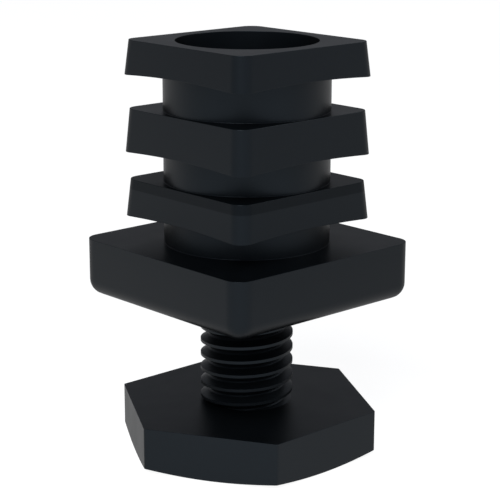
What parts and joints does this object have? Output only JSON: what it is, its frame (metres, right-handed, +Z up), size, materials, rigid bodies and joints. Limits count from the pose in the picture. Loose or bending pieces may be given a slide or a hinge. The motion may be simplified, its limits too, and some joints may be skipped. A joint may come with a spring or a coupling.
{
  "type": "adjustable levelling foot for square tube",
  "caption": "Square-tube end insert with barbed plug and square flange, carrying a levelling foot with a threaded stem and hexagonal base.",
  "frame": {"origin": "centre of the hexagonal base's underside, on the floor", "axes": "+Z up along the screw towards the plug's open end, X and Y along the sides of the square flange"},
  "size_m": [0.023, 0.02, 0.0353],
  "materials": {
    "black_insert_plastic": "satin moulded black plastic",
    "black_foot_plastic": "satin moulded black plastic"
  },
  "bodies": {
    "foot": {"levelling_foot": "black_foot_plastic"},
    "insert": {"tube_insert": "black_insert_plastic"}
  },
  "joints": [
    {"name": "height_adjust", "type": "slide", "parent": "foot", "child": "insert", "axis": [0, 0, 1], "range_m": [-0.00875, 0.005]}
  ]
}
